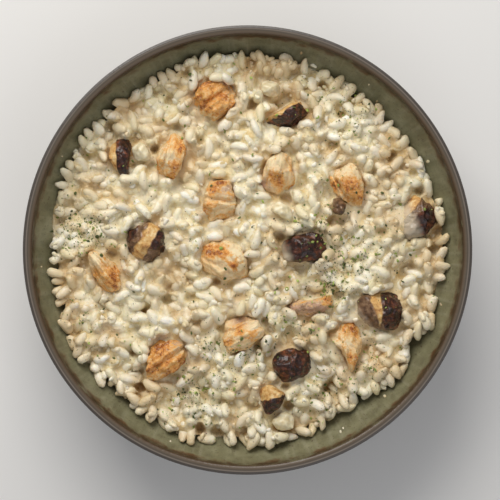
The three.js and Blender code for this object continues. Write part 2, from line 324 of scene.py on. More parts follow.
def heapSurface(x, y):
    # a low dome with swells that rounds over at its edge down to the wall of the bowl
    radius = np.hypot(x, y)
    edge = heapEdge(np.arctan2(y, x))
    top = heap["height"] - heap["domeDrop"] * (radius / heap["radius"]) ** 2
    for turn, length, height in heap["swells"]:
        top = top + height * np.sin(2 * np.pi * turned(x, y, turn)[0] / length)
    foot = wallHeight(edge)
    share = np.clip(radius / edge, 0, 1)
    return foot + (top - foot) * np.sqrt(1 - share ** heap["shoulderPower"])


chunkShape = {
    "around": 128, "rings": 46,
    "squareness": 3.2,  # power of the section, from 2 for an ellipse upwards
    "lift": 0.8, "crown": 0.5,  # how far the widest ring and the top stand over those of the solid
    "facets": 4, "planed": 0.7,  # cuts that flatten a chunk, and share taken off what stands over them
}
chicken = {
    # relief as size and height: lumps, strands along the fibre, and crumb
    "lumps": [(5.0, 0.8), (2.6, 0.5)], "strands": [(1.5, 0.6), (0.8, 0.3)], "crumb": (1.0, 0.2),
    # one row for each chunk: fibre is the way the meat's grain runs, browned is how brown it is all over,
    # grooves are valleys across the top (direction, offset, depth, width), and sear, pink and pale are
    # round patches (x, y, radius) from the chunk's middle
    "chunks": [
        {"fibre": 35, "browned": 0.4, "grooves": [(39, 0.8, 2.4, 1.2), (70, -5.4, 1.0, 0.8)],
         "sear": [(-3.4, 4.5, 4.5), (0.7, -4.5, 2.8), (7.5, -3, 3), (-6, -1, 3), (4, 0, 2)],
         "pink": [(5.6, 7.2, 4.5)], "pale": [(3, -1, 2)]},
        {"fibre": 78, "browned": 0.12, "grooves": [(70, 4.6, 1.2, 0.8), (76, 1.6, 0.9, 0.6)],
         "sear": [(-3, 8, 3), (3.5, 3, 3.6), (1, -6, 2.8), (-6, -4, 2.2), (1, -11, 2.6)],
         "pale": [(-2, -2, 4)]},
        {"fibre": 5, "browned": 0.24, "grooves": [(-6, 0.6, 2.2, 1.0)],
         "sear": [(-3.3, 5, 2.6), (-5, -3, 2.6), (1, 7.5, 2)], "pink": [(3.3, 5.6, 3.4)],
         "pale": [(5, 1, 3)]},
        {"fibre": 80, "browned": 0.0, "grooves": [(88, -4.6, 1.2, 0.8), (70, 3.4, 0.9, 0.7)],
         "sear": [(-1.5, -1.5, 3.2), (6, 1, 2.2), (7, -6, 2.4), (0, -5, 3.2)], "pink": [(-6, -6, 3.4)],
         "pale": [(-2, 6, 4), (1, -2, 1.6)]},
        {"fibre": 110, "browned": 0.12, "grooves": [(125, 3.2, 1.6, 1.0)],
         "sear": [(1.5, 0, 3.8), (5, -5, 3.8), (-5, 0.5, 2.4)], "pale": [(-1, 8, 4)]},
        {"fibre": 130, "browned": 0.24, "grooves": [(135, -2.4, 1.4, 0.9)],
         "sear": [(3.5, -5, 4), (-3, 0, 3), (5, 1, 2.4)], "pale": [(-3, 6, 4)]},
        {"fibre": 150, "browned": 0.08, "grooves": [(-62, 2.5, 1.4, 1.0), (150, 3.0, 1.0, 0.8)],
         "sear": [(-9, 5.5, 4), (-5, 6, 3), (-1, 4, 2.4), (10, -9, 2.8), (3, -1, 2)],
         "pale": [(5, 5, 4), (4, 0, 4)]},
        {"fibre": 35, "browned": 0.4, "grooves": [(34, -0.6, 2.2, 1.0)],
         "sear": [(-2, 5, 5), (-3, 1, 3), (-1, -1, 2.4), (2, -5, 3.4), (7, 0, 2.6), (-6, -4, 3)],
         "pink": [(4, 7, 3)]},
        {"fibre": 20, "browned": 0.02, "grooves": [(15, 3.4, 1.4, 0.9)],
         "sear": [(-1.5, 2, 2.8), (-7, -4, 3), (4, -1, 2.2)], "pink": [(-2, 8, 4)], "pale": [(5, 2, 3)]},
        {"fibre": 95, "browned": 0.26, "grooves": [(-28, 1.2, 1.2, 0.9)], "sear": [(3, 8, 4), (4, -6, 3)],
         "pale": [(-3, 3, 2.6), (1, 1, 2)]},
        {"fibre": 15, "browned": 0.05, "grooves": [(80, 0.5, 1.6, 2.4)], "sear": [(8, 1.5, 3)],
         "pink": [(-8, -2, 4), (0, -1, 5), (7, 0, 4)]},
    ],
}


def chunkForm(node, count):
    # the CAD chunk's middle, its heights, and its widest ring as a distance for each of count directions:
    # along a straight edge between two corners, r = r0 r1 sin(a1 - a0) / (r0 sin(u - a0) + r1 sin(a1 - u))
    corners = np.array([vertex.co[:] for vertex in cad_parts[node].data.vertices]) / metre
    low, high = corners.min(0), corners.max(0)
    middle = (low + high)[:2] / 2
    away = corners[:, :2] - middle
    levels = np.round(corners[:, 2], 2)
    spread = {level: np.hypot(*away[levels == level].T).mean() for level in np.unique(levels)
              if len(np.unique(np.round(away[levels == level], 2), axis=0)) > 5}
    widest = max(spread, key=spread.get)
    ring = np.unique(np.round(away[levels == widest], 2), axis=0)
    angles, radii = np.arctan2(ring[:, 1], ring[:, 0]), np.hypot(ring[:, 0], ring[:, 1])
    order = np.argsort(angles)
    angles, radii = angles[order], radii[order]
    u = np.linspace(-np.pi, np.pi, count, endpoint=False)
    after = np.searchsorted(angles, u) % len(angles)
    a0, a1, r0, r1 = angles[after - 1], angles[after], radii[after - 1], radii[after]
    wide, since = (a1 - a0) % (2 * np.pi), (u - a0) % (2 * np.pi)
    reach = r0 * r1 * np.sin(wide) / (r0 * np.sin(since) + r1 * np.sin(wide - since))
    reach = (np.roll(reach, 1) + 2 * reach + np.roll(reach, -1)) / 4
    return middle, low[2], widest, high[2], u, reach


def chunkPoints(node, seed):
    # outline times a superellipse section: a share c of the outline at a share s of the height, with
    # c^p + s^p = 1, then planed flat by a few slanting cuts
    power = chunkShape["squareness"]
    middle, low, widest, high, u, reach = chunkForm(node, chunkShape["around"])
    centre = widest + chunkShape["lift"]
    t = np.radians(np.linspace(-83, 85, chunkShape["rings"]))
    norm = (np.abs(np.cos(t)) ** power + np.abs(np.sin(t)) ** power) ** (1 / power)
    c, s = np.append(np.cos(t) / norm, [0, 0]), np.append(np.sin(t) / norm, [-1, 1])
    rise = np.where(s > 0, s * (high - centre + chunkShape["crown"]), s * (centre - low))
    local = carriedRound(c[:, None] * reach, u, rise[:, None])
    rng = np.random.default_rng(seed)
    for k in range(chunkShape["facets"]):
        turn, lean = rng.uniform(0, 360), rng.uniform(28, 60)
        normal = np.append(direction(turn) * math.cos(math.radians(lean)), math.sin(math.radians(lean)))
        over = local @ normal
        cut = np.percentile(over, 84 + 3 * k)
        local -= (np.maximum(0, over - cut) * chunkShape["planed"])[..., None] * normal
    return middle, centre, local


def pushed(local, amount):
    # moves each point out from the chunk's middle by an amount
    out = local * np.array([1, 1, 1.6])
    return local + out / (np.linalg.norm(out, axis=-1, keepdims=True) + 1e-6) * amount[..., None]


def finishChunk(name, node, local, middle, centre, material, values):
    # each end ring stands for one point, so its noise is made one value first
    local[-2:] = local[-2:].mean(1, keepdims=True)
    placed = local + np.array([middle[0], middle[1], centre])
    points = np.concatenate([placed[:-2].reshape(-1, 3), placed[-2:, 0]])
    flat = {label: np.append(numbers[:-2].ravel(), numbers[-2:, 0]) for label, numbers in values.items()}
    makePiece(name, points, closedFaces(len(placed) - 2, placed.shape[1]), material, [node], flat)
    return placed


def searedMaterial():
    # Chicken browned in a pan: pale tan flesh in strands, orange brown where it caught, near black in
    # spots, pinkish under the sauce, with a thin gloss of fat.
    material, add = newMaterial("searedChicken")
    place = add("TexCoord").outputs["Object"]
    sear, pale, pink, strand = (add("Attribute", attribute_name=label).outputs["Fac"]
                                for label in ("sear", "pale", "pink", "strand"))
    blotch, fine, fatAndGlintNoise = (
        add("TexNoise", {"Vector": place, "Scale": 1 / (size * metre), "Detail": detail, "Roughness": rough})
        for size, detail, rough in ((2.2, 5.0, 0.7), (0.9, 4.0, 0.7), (1.3, 3.0, 0.6))
    )
    tone = add("Math", {0: blotch, 1: strand}, operation="ADD")
    flesh = add("ValToRGB", {0: tone}, stops=[(0.25, "#ebbc80"), (0.5, "#fbd9a2"), (0.8, "#ffecc6")])
    # browning is the patch plus broken noise, so that its edge is ragged
    broken = add("Math", {0: blotch, 1: 1.5, 2: -0.78}, operation="MULTIPLY_ADD")
    specks = add("Math", {0: fine, 1: 1.3, 2: -0.65}, operation="MULTIPLY_ADD")
    caught = add("Math", {0: sear, 1: broken}, operation="ADD")
    caught = add("Math", {0: caught, 1: specks}, operation="ADD")
    crust = add("ValToRGB", {0: caught},
                stops=[(0.2, "#f4ca8c"), (0.5, "#f0b05e"), (0.8, "#d68a40"), (1.0, "#945124")])
    browned = add("MapRange", {0: caught, 1: 0.08, 2: 0.4})
    fatFlecksAndGlints = add("MapRange", {0: fatAndGlintNoise, 1: 0.55, 2: 0.7, 3: 0.0, 4: 0.5})
    # the last layer is flecks of white fat and sauce, partly a painted highlight for the glints on wet fat
    colour = flesh
    for share, over in ((pink, "#c49c80"), (pale, "#fce8be"), (browned, crust), (fatFlecksAndGlints, "#fbe9c6")):
        colour = add("Mix", {0: share, 6: colour, 7: over}, data_type="RGBA")
    bump = add("Bump", {"Height": fine, "Strength": 0.9, "Distance": 0.0009})
    shader = add("BsdfPrincipled", {"Base Color": colour, "Roughness": 0.27, "Normal": bump,
                                    "Subsurface Weight": 0.1, "Subsurface Radius": (0.004, 0.002, 0.001),
                                    "Subsurface Scale": 0.5})
    add("OutputMaterial", {"Surface": shader})
    return material


def makeChicken():
    # each chunk is its outline form, cut by grooves and roughened by lumps and by strands along its fibre
    material = searedMaterial()
    tops = []
    for number, look in enumerate(chicken["chunks"], 1):
        node, seed = f"chicken_{number}", 10 + number
        middle, centre, local = chunkPoints(node, seed)
        along, across = direction(look["fibre"]), direction(look["fibre"] + 90)
        # coordinates squeezed along the fibres, so that noise in them comes out as strands
        strand = np.stack([local[..., :2] @ along / 5, local[..., :2] @ across, local[..., 2] / 1.5], -1)
        upper = ramp(local[..., 2], -1.0, 1.5)
        for turn, offset, depth, width in look["grooves"]:
            wave = 0.8 * cloudNoise(local, 4.0, seed + 5)
            beside = local[..., :2] @ direction(turn + 90) - offset + wave
            local[..., 2] -= depth * upper * np.exp(-((beside / width) ** 2))
        strands = cloudNoise(strand, chicken["strands"][0][0], seed + 1)
        relief = chicken["crumb"][1] * cloudNoise(local, chicken["crumb"][0], seed + 3)
        for k, (size, height) in enumerate(chicken["lumps"]):
            relief += height * cloudNoise(local, size, seed + 7 * k)
        for k, (size, height) in enumerate(chicken["strands"]):
            relief += height * cloudNoise(strand, size, seed + 1 + k)
        values = {"strand": 0.16 * strands}
        for label in ("sear", "pale", "pink"):
            # sum of soft round patches: exp(-(distance / radius)^2)
            total = np.full(strands.shape, look["browned"] if label == "sear" else 0.0)
            for x, y, radius in look.get(label, []):
                total += np.exp(-((local[..., 0] - x) ** 2 + (local[..., 1] - y) ** 2) / radius**2)
            values[label] = np.clip(total, 0, 1)
        streaks = 0.3 * cloudNoise(strand, 1.1, seed + 9) + 0.22 * cloudNoise(strand, 2.6, seed + 10)
        values["sear"] = values["sear"] * 0.72 + streaks
        local = pushed(local, relief)
        tops.append(finishChunk(f"searedChunk{number}", node, local, middle, centre, material,
                                values))
    return tops


mushrooms = {
    # relief as size and height: lumps, wrinkles of the skin, ribs of the gills, and crumb
    "lumps": (5.0, 0.35), "wrinkles": (3.0, 0.5), "ribs": (1.1, 0.5), "crumb": (0.9, 0.16),
    "sunken": 0.4,  # how far cut flesh has shrunk back
    "filmed": 0.75, "filmFade": 2.2,  # how milky the film is, and the width over which it starts
    # one row for each chunk: flesh, gill and film are bands across it (direction that the band faces,
    # from, to) in millimetres from its middle, and flare is how fast flesh widens along the band. The
    # rest is cap skin.
    "chunks": [
        {"flesh": [(123, 1.2, 3.6), (38, 7.6, 9.2)], "gill": [(123, 3.6, 20)]},
        {"flesh": [(185, 0.9, 20)]},
        {"flesh": [(150, -2.4, 3.2)], "gill": [(255, 2.6, 20), (150, 3.2, 6.0)]},
        {"film": [(200, 7.6, 20)]},
        {"flesh": [(140, 4.2, 20)], "gill": [(140, 0.6, 4.2)], "film": [(200, 2.2, 20)]},
        {"flesh": [(20, -2.2, 0.6)], "flare": 0.36, "gill": [(205, 1.0, 20)], "film": [(215, 8.0, 20)]},
        {},
        {"flesh": [(104, 0.6, 20)], "gill": [(180, 4.2, 20)]},
        {"gill": [(0, -20, 20)]},
    ],
}


def mushroomMaterial():
    # Mushroom fried and wet with sauce: near-black glossy wrinkled cap skin, cream to orange-brown cut
    # flesh, grey-brown gills, and a milky film where the sauce lies over it.
    material, add = newMaterial("friedMushroom")
    place = add("TexCoord").outputs["Object"]
    flesh, gill, film = (add("Attribute", attribute_name=label).outputs["Fac"]
                         for label in ("flesh", "gill", "film"))
    cloud = add("TexNoise", {"Vector": place, "Scale": 1 / (2.6 * metre), "Detail": 5.0, "Roughness": 0.65})
    fine = add("TexNoise", {"Vector": place, "Scale": 1 / (0.8 * metre), "Detail": 3.0})
    skin, ribs, cutFace = (add("ValToRGB", {0: cloud}, stops=stops) for stops in (
        [(0.38, "#20120e"), (0.52, "#3f2218"), (0.7, "#82492f")],
        [(0.35, "#4a3526"), (0.52, "#77583f"), (0.7, "#a08465")],
        [(0.35, "#e8cc96"), (0.5, "#d8aa66"), (0.68, "#9a6030")],
    ))
    colour = skin
    for share, over in ((gill, ribs), (flesh, cutFace), (film, "#c9bba2")):
        colour = add("Mix", {0: share, 6: colour, 7: over}, data_type="RGBA")
    rough = add("MapRange", {0: flesh, 3: 0.22, 4: 0.45})
    bump = add("Bump", {"Height": fine, "Strength": 0.6, "Distance": 0.0004})
    shader = add("BsdfPrincipled", {"Base Color": colour, "Roughness": rough, "Normal": bump})
    add("OutputMaterial", {"Surface": shader})
    return material


def bandShare(local, bands, seed, soft=0.3, flare=0.0):
    # 1 inside any band, fading over twice soft, with an edge that wanders by about a millimetre
    share = np.zeros(local.shape[:-1])
    wander = 0.7 * cloudNoise(local, 2.2, seed)
    for turn, start, end in bands:
        out = local[..., :2] @ direction(turn) + wander
        last = end + flare * local[..., :2] @ direction(turn + 90)
        share = np.maximum(share, ramp(out, start - soft, start + soft) * (1 - ramp(out - last, -soft, soft)))
    return share


def makeMushrooms():
    # each chunk is its outline form, with wrinkles on the skin, ribs on the gills and sunken flesh
    material = mushroomMaterial()
    tops = []
    for number, look in enumerate(mushrooms["chunks"], 1):
        node, seed = f"mushroom_{number}", 30 + number
        middle, centre, local = chunkPoints(node, seed)
        flesh = bandShare(local, look.get("flesh", []), seed, flare=look.get("flare", 0.0))
        gill = bandShare(local, look.get("gill", []), seed + 1) * (1 - flesh)
        film = bandShare(local, look.get("film", []), seed + 6, mushrooms["filmFade"]) * mushrooms["filmed"]
        size, height = mushrooms["wrinkles"]
        wrinkle = height * (1 - np.abs(cloudNoise(local, size, seed + 2)) * 2)
        size, height = mushrooms["ribs"]
        ribs = height * cloudNoise(local * np.array([1, 1, 0.3]), size, seed + 4)
        lumps, crumb = (mushrooms[label][1] * cloudNoise(local, mushrooms[label][0], seed + extra)
                        for label, extra in (("lumps", 0), ("crumb", 3)))
        relief = lumps + (1 - flesh - gill) * wrinkle + gill * ribs + crumb - mushrooms["sunken"] * flesh
        local = pushed(local, relief)
        values = {"flesh": flesh, "gill": gill, "film": film}
        tops.append(finishChunk(f"mushroomChunk{number}", node, local, middle, centre, material,
                                values))
    return tops


onions = {"count": 4, "lumps": [(3.4, 0.5, 60), (1.5, 0.3, 65)]}  # size, height and seed of its lumps


def onionMaterial():
    # Onion softened in butter: pale, cloudy and a little see-through, with a wet surface.
    material, add = newMaterial("softOnion")
    place = add("TexCoord").outputs["Object"]
    cloud = add("TexNoise", {"Vector": place, "Scale": 1 / (2.5 * metre), "Detail": 3.0})
    colour = add("ValToRGB", {0: cloud}, stops=[(0.35, "#d6c69d"), (0.6, "#eadfbe")])
    shader = add("BsdfPrincipled", {"Base Color": colour, "Roughness": 0.25, "Subsurface Weight": 0.3,
                                    "Subsurface Radius": (0.004, 0.0035, 0.0025), "Subsurface Scale": 0.6})
    add("OutputMaterial", {"Surface": shader})
    return material


def makeOnions():
    # each piece is its outline form with two sizes of lumps
    material = onionMaterial()
    tops = []
    for k in range(1, onions["count"] + 1):
        middle, centre, local = chunkPoints(f"onion_{k}", 50 + k)
        relief = sum(height * cloudNoise(local, size, seed + k) for size, height, seed in onions["lumps"])
        tops.append(finishChunk(f"onionPiece{k}", f"onion_{k}", pushed(local, relief), middle, centre,
                                material, {}))
    return tops


print("toppings")
chunkTops = makeChicken() + makeMushrooms() + makeOnions()

cellSize = 0.5
mapHalf = 98.0
cellCount = int(2 * mapHalf / cellSize) + 1
ticks = np.linspace(-mapHalf, mapHalf, cellCount)
mapX, mapY = np.meshgrid(ticks, ticks)
mapSpots = np.stack([mapX, mapY, np.zeros_like(mapX)], -1)


def toCell(value):
    # number of the map's row or column at a place
    return np.clip(np.rint((value + mapHalf) / cellSize).astype(int), 0, cellCount - 1)


def sampled(heights, x, y):
    # value of a map at any point, blended between its four nearest cells
    fx = np.clip((x + mapHalf) / cellSize, 0, cellCount - 1.001)
    fy = np.clip((y + mapHalf) / cellSize, 0, cellCount - 1.001)
    ix, iy = fx.astype(int), fy.astype(int)
    tx, ty = fx - ix, fy - iy
    low = heights[iy, ix] * (1 - tx) + heights[iy, ix + 1] * tx
    high = heights[iy + 1, ix] * (1 - tx) + heights[iy + 1, ix + 1] * tx
    return low * (1 - ty) + high * ty


def widened(heights, reach, ball=None):
    # greatest value within reach cells, each lowered by how far a ball's underside rises at that distance
    result = heights.copy()
    padded = np.pad(heights, reach, mode="edge")
    for dy in range(-reach, reach + 1):
        for dx in range(-reach, reach + 1):
            away = math.hypot(dx, dy)
            if 0 < away <= reach + 0.3:
                drop = ball - math.sqrt(max(ball**2 - (away * cellSize) ** 2, 0)) if ball else 0
                shifted = padded[reach + dy : reach + dy + cellCount, reach + dx : reach + dx + cellCount]
                result = np.maximum(result, shifted - drop)
    return result


def smoothed(heights, rounds):
    # each round blends a cell half and half with the mean of its four neighbours
    for _ in range(rounds):
        padded = np.pad(heights, 1, mode="edge")
        near = padded[:-2, 1:-1] + padded[2:, 1:-1] + padded[1:-1, :-2] + padded[1:-1, 2:]
        heights = near / 8 + heights / 2
    return heights


mapRadius = np.hypot(mapX, mapY)
mapEdge = heapEdge(np.arctan2(mapY, mapX))
inHeap = mapRadius < mapEdge + 1.5
wallMap = wallHeight(np.minimum(mapRadius, innerRadius - 0.01))
heapMap = np.where(mapRadius < mapEdge, heapSurface(mapX, mapY), wallMap)
chunkMap = np.full_like(heapMap, -1e3)
for placed in chunkTops:
    upper = placed.reshape(-1, 3)
    upper = upper[upper[:, 2] > sampled(heapMap, upper[:, 0], upper[:, 1]) - 5]
    np.maximum.at(chunkMap, (toCell(upper[:, 1]), toCell(upper[:, 0])), upper[:, 2])
chunkMap = widened(chunkMap, 1)
onChunk = chunkMap > -500
offChunk = (~onChunk).astype(float)
# cells at least 1.5 millimetres inside a topping's outline, then those half and two millimetres inside
wellInChunk = widened(offChunk, 3) < 0.5
overChunk = [widened(offChunk, 1) < 0.5, widened(offChunk, 4) < 0.5]

# the form that the rice is piled up to: the heap with its lumps and dips, rising a little round the chunks
dipMap = np.zeros_like(heapMap)
for x, y, turn, length, width, depth in heap["dips"]:
    along, beside = turned(mapX - x, mapY - y, turn)
    dipMap += depth * np.exp(-((along / length) ** 2) - (beside / width) ** 2)
goalMap = heapMap - dipMap
for k, (size, height) in enumerate(heap["lumps"]):
    goalMap += height * cloudNoise(mapSpots, size, 81 + k) * inHeap
skirt = smoothed(np.where(onChunk, np.maximum(chunkMap, goalMap), goalMap), heap["skirtRounds"])
nearChunk = smoothed(1 - offChunk, heap["skirtRounds"]) > 0.02
goalMap += heap["skirtShare"] * np.where(nearChunk, np.maximum(skirt - goalMap, 0), 0)

rice = {
    "length": (7.2, 10.0), "width": (3.8, 5.0), "thickness": (3.3, 4.2),
    "around": 8, "rings": 6,
    "bluntness": 3.0,  # power of the outline, from 2 for pointed ends upwards
    "brokenShare": 0.12, "brokenLength": 0.62,
    "bedDepth": 6.5,  # loose grains lie this deep over the core
    "sink": 0.48,  # share of a grain's half thickness that keeps clear of what lies under it
    "tries": 8, "limit": 2040, "misses": 220,
    # grains laid first along the edge, how far from it, and when that stops
    "edging": 260, "edgeSpread": (-2.8, 1.8), "edgeMisses": 60,
    "pastEdge": 4.2,  # no part of a grain lies further out than this
    "overlapShare": 0.15,  # share that may lie up to two millimetres over a topping's edge
    # grains that stand on end with one tip showing: number, lean, half length, half width
    "standing": 90, "standLean": (38, 68), "standHalf": (3.4, 4.4), "standWide": (1.7, 2.1),
    "room": 0.1,  # a grain is laid only where it ends this far under the form that the rice fills
    # unevenness of one grain: taper, lumps, bend and roll, and how far its surface wanders
    "taper": 0.22, "lumps": 0.08, "bend": 0.8, "roll": 0.6, "wander": 0.36,
    "bits": 620, "bitSize": (0.9, 2.2),  # crumbs, and their length
}


def scatterRice():
    # Grains are laid one at a time. Each takes the lowest of a few random places, rests on the height map
    # at points along its length, and raises the map by its own ellipsoid.
    rng = np.random.default_rng(5)
    heights = np.maximum(wallMap + 0.05, heapMap - rice["bedDepth"])
    heights = np.where(onChunk, np.maximum(heights, chunkMap - 0.6), heights)
    stations = np.linspace(-0.85, 0.85, 7)
    bulge = np.sqrt(1 - stations**2)
    left, right = stations <= 0, stations >= 0
    grains = []
    misses = 0
    atEdge = True
    while len(grains) < rice["limit"] and misses < rice["misses"]:
        half = rng.uniform(*rice["length"]) / 2
        if rng.random() < rice["brokenShare"]:
            half *= rice["brokenLength"] * rng.uniform(0.8, 1.2)
        wide, thick = rng.uniform(*rice["width"]) / 2, rng.uniform(*rice["thickness"]) / 2
        turn = rng.uniform(0, 2 * np.pi, rice["tries"])
        angle = rng.uniform(0, 2 * np.pi, rice["tries"])
        reach = np.sqrt(rng.random(rice["tries"])) * (heapEdge(angle) + 0.6)
        if atEdge and (len(grains) == rice["edging"] or misses > rice["edgeMisses"]):
            atEdge, misses = False, 0
        if atEdge:
            reach = heapEdge(angle) + rng.uniform(*rice["edgeSpread"], rice["tries"])
        x, y = reach * np.cos(angle), reach * np.sin(angle)
        ax, ay = np.cos(turn), np.sin(turn)
        px = x[:, None] + ax[:, None] * stations * half
        py = y[:, None] + ay[:, None] * stations * half
        need = np.full(px.shape, -1e3)
        for side in (-0.6, 0.0, 0.6):
            cx, cy = toCell(px - ay[:, None] * side * wide), toCell(py + ax[:, None] * side * wide)
            lift = thick * bulge * math.sqrt(1 - side**2) * rice["sink"]
            need = np.maximum(need, heights[cy, cx] + lift)
        low, high = need[:, left].max(1), need[:, right].max(1)
        middle = (low + high) / 2
        overlaps = int(rng.random() < rice["overlapShare"])
        blocked = overChunk[overlaps][toCell(py), toCell(px)].any(1)
        tooFar = np.hypot(px, py).max(1) > heapEdge(angle) + rice["pastEdge"]
        inward = 1 - (5 / reach if atEdge else 0)
        score = middle - sampled(goalMap, x * inward, y * inward) + 100 * (blocked | tooFar)
        best = int(np.argmin(score))
        if score[best] > -rice["room"]:
            misses += 1
            continue
        slope = np.clip((high[best] - low[best]) / half, -1.1, 1.1)
        gx, gy, gz = x[best], y[best], middle[best]
        grains.append((gx, gy, gz, turn[best], math.atan(slope), half, wide, thick))
        raiseMap(heights, gx, gy, gz, ax[best], ay[best], slope, half, wide, thick)
    laid = len(grains)
    # a few more stand on end in what is there
    while len(grains) < laid + rice["standing"]:
        angle, lean = rng.uniform(0, 2 * np.pi), math.radians(rng.uniform(*rice["standLean"]))
        reach = math.sqrt(rng.random()) * (float(heapEdge(angle)) - 4)
        x, y = reach * math.cos(angle), reach * math.sin(angle)
        if onChunk[toCell(y), toCell(x)]:
            continue
        half, wide = rng.uniform(*rice["standHalf"]), rng.uniform(*rice["standWide"])
        z = float(sampled(heights, x, y)) + 0.4 - 0.45 * half * math.sin(lean)
        turn = rng.uniform(0, 2 * np.pi)
        grains.append((x, y, z, turn, lean, half, wide, wide))
        raiseMap(heights, x, y, z, math.cos(turn), math.sin(turn), math.tan(lean), half, wide, wide)
    print("  ", laid, "grains lie and", rice["standing"], "stand")
    return np.array(grains), heights


def raiseMap(heights, gx, gy, gz, ax, ay, slope, half, wide, thick):
    # the map becomes the higher of itself and the grain's top: z + slope * along + thick * sqrt(1 - ...)
    span = int((half + 0.5) / cellSize) + 1
    ix, iy = toCell(gx), toCell(gy)
    x0, x1 = max(ix - span, 0), min(ix + span + 1, cellCount)
    y0, y1 = max(iy - span, 0), min(iy + span + 1, cellCount)
    ux, uy = mapX[y0:y1, x0:x1] - gx, mapY[y0:y1, x0:x1] - gy
    along = ux * ax + uy * ay
    inside = 1 - (along / half) ** 2 * (1 + slope**2) - ((uy * ax - ux * ay) / wide) ** 2
    top = gz + along * slope + thick * np.sqrt(np.maximum(inside, 0))
    patch = heights[y0:y1, x0:x1]
    heights[y0:y1, x0:x1] = np.where(inside > 0, np.maximum(patch, top), patch)


def grainPoints(grains, rng):
    # every grain as rings along its length, with girth (1 - |t|^p)^0.5, bent, tapered, lumpy and with a
    # notch at the end where the germ was
    count, around, rings = len(grains), rice["around"], rice["rings"]
    gx, gy, gz, turn, tilt, half, wide, thick = (column[:, None] for column in grains.T)
    t = np.sin(np.linspace(-1.22, 1.22, rings))
    t = np.concatenate([np.repeat(t, around), [-1, 1]])
    u = np.concatenate([np.tile(np.linspace(0, 2 * np.pi, around, endpoint=False), rings), [0, 0]])
    girth = np.sqrt(np.maximum(1 - np.abs(t) ** rice["bluntness"], 0))
    taper = 1 - rng.uniform(0.0, rice["taper"], (count, 1)) * t
    germSide = np.maximum(np.cos(u - rng.uniform(0, 6.3, (count, 1))), 0)
    notch = 1 - 0.35 * np.exp(-(((t - 0.75) / 0.25) ** 2)) * germSide
    lump = (1 + rice["lumps"] * rng.standard_normal((count, len(t)))) * notch
    bend = rng.uniform(-rice["bend"], rice["bend"], (count, 1))
    spin = rng.uniform(-rice["roll"], rice["roll"], (count, 1))
    cy = wide * girth * taper * lump * np.cos(u)
    cz = thick * girth * taper * lump * np.sin(u)
    ly = cy * np.cos(spin) - cz * np.sin(spin) + bend * (1 - t**2)
    lz = cy * np.sin(spin) + cz * np.cos(spin)
    lx = half * t
    rx = lx * np.cos(tilt) - lz * np.sin(tilt)
    rz = lx * np.sin(tilt) + lz * np.cos(tilt)
    x = gx + rx * np.cos(turn) - ly * np.sin(turn)
    y = gy + rx * np.sin(turn) + ly * np.cos(turn)
    points = np.stack([x, y, gz + rz], -1)
    return points + rice["wander"] * np.stack([cloudNoise(points, 2.1, seed) for seed in (41, 42, 43)], -1)


def depthUnder(reference, points):
    # how deep a point lies under the smoothed top of the food, from 0 near it to 1 in the hollows; this sets
    # how much painted shade it takes
    return ramp(sampled(reference, points[..., 0], points[..., 1]) - points[..., 2], 1.0, 4.2)


# shared by rice and sauce: size of the warmer patches, wet gloss, and light that goes a little way in
creamy = {
    "patch": 19.0,
    "shader": {"Roughness": 0.24, "Subsurface Weight": 0.15, "Subsurface Radius": (0.004, 0.0028, 0.0016),
               "Subsurface Scale": 0.4},
}


def riceMaterial():
    # Short-grain rice cooked soft: chalky white grains under a film of cream, each a little different,
    # with a wet gloss, and a warm brown painted shade in the hollows, standing in for the light that has
    # passed through sauce there.
    material, add = newMaterial("cookedRice")
    place = add("TexCoord").outputs["Object"]
    tone, hollowShade = (add("Attribute", attribute_name=label).outputs["Fac"] for label in ("tone", "hollowShade"))
    film, patch, fine = (add("TexNoise", {"Vector": place, "Scale": 1 / (size * metre), "Detail": detail})
                         for size, detail in ((3.2, 4.0), (creamy["patch"], 5.0), (0.7, 3.0)))
    coated = add("MapRange", {0: film, 1: 0.42, 2: 0.7, 3: 0.0, 4: 0.7})
    warm = add("MapRange", {0: patch, 1: 0.44, 2: 0.64, 3: 0.0, 4: 0.8})
    colour = add("ValToRGB", {0: tone}, stops=[(0.0, "#ebdeb4"), (0.45, "#f5ecd0"), (1.0, "#fbf6e6")])
    # the last colour is painted shade, warm brown in the hollows
    for share, over in ((coated, "#ecdfbe"), (warm, "#dcc294"), (hollowShade, "#b08040")):
        colour = add("Mix", {0: share, 6: colour, 7: over}, data_type="RGBA")
    bump = add("Bump", {"Height": fine, "Strength": 0.7, "Distance": 0.0005})
    shader = add("BsdfPrincipled", {"Base Color": colour, "Normal": bump, **creamy["shader"]})
    add("OutputMaterial", {"Surface": shader})
    return material


def makeBits(material, heights, reference):
    # broken ends and crumbs of rice: short blunt rings, half sunk in what lies under them
    rng = np.random.default_rng(7)
    count = rice["bits"]
    angle = rng.uniform(0, 2 * np.pi, count)
    reach = np.sqrt(rng.random(count)) * (heapEdge(angle) - 0.5)
    x, y = reach * np.cos(angle), reach * np.sin(angle)
    keep = ~onChunk[toCell(y), toCell(x)]
    x, y = x[keep], y[keep]
    half = rng.uniform(*rice["bitSize"], len(x)) * 0.8
    wide = half * rng.uniform(0.55, 0.9, len(x))
    z = sampled(heights, x, y) + wide * 0.1
    turn, tilt = rng.uniform(0, 6.3, len(x)), rng.uniform(-0.6, 0.6, len(x))
    grains = np.stack([x, y, z, turn, tilt, half, wide, wide * 0.8], 1)
    points = grainPoints(grains, rng)
    makeCopies("riceCrumbs", points, rice["rings"], rice["around"], material, (),
               {"tone": rng.random(len(x)), "hollowShade": depthUnder(reference, points)})


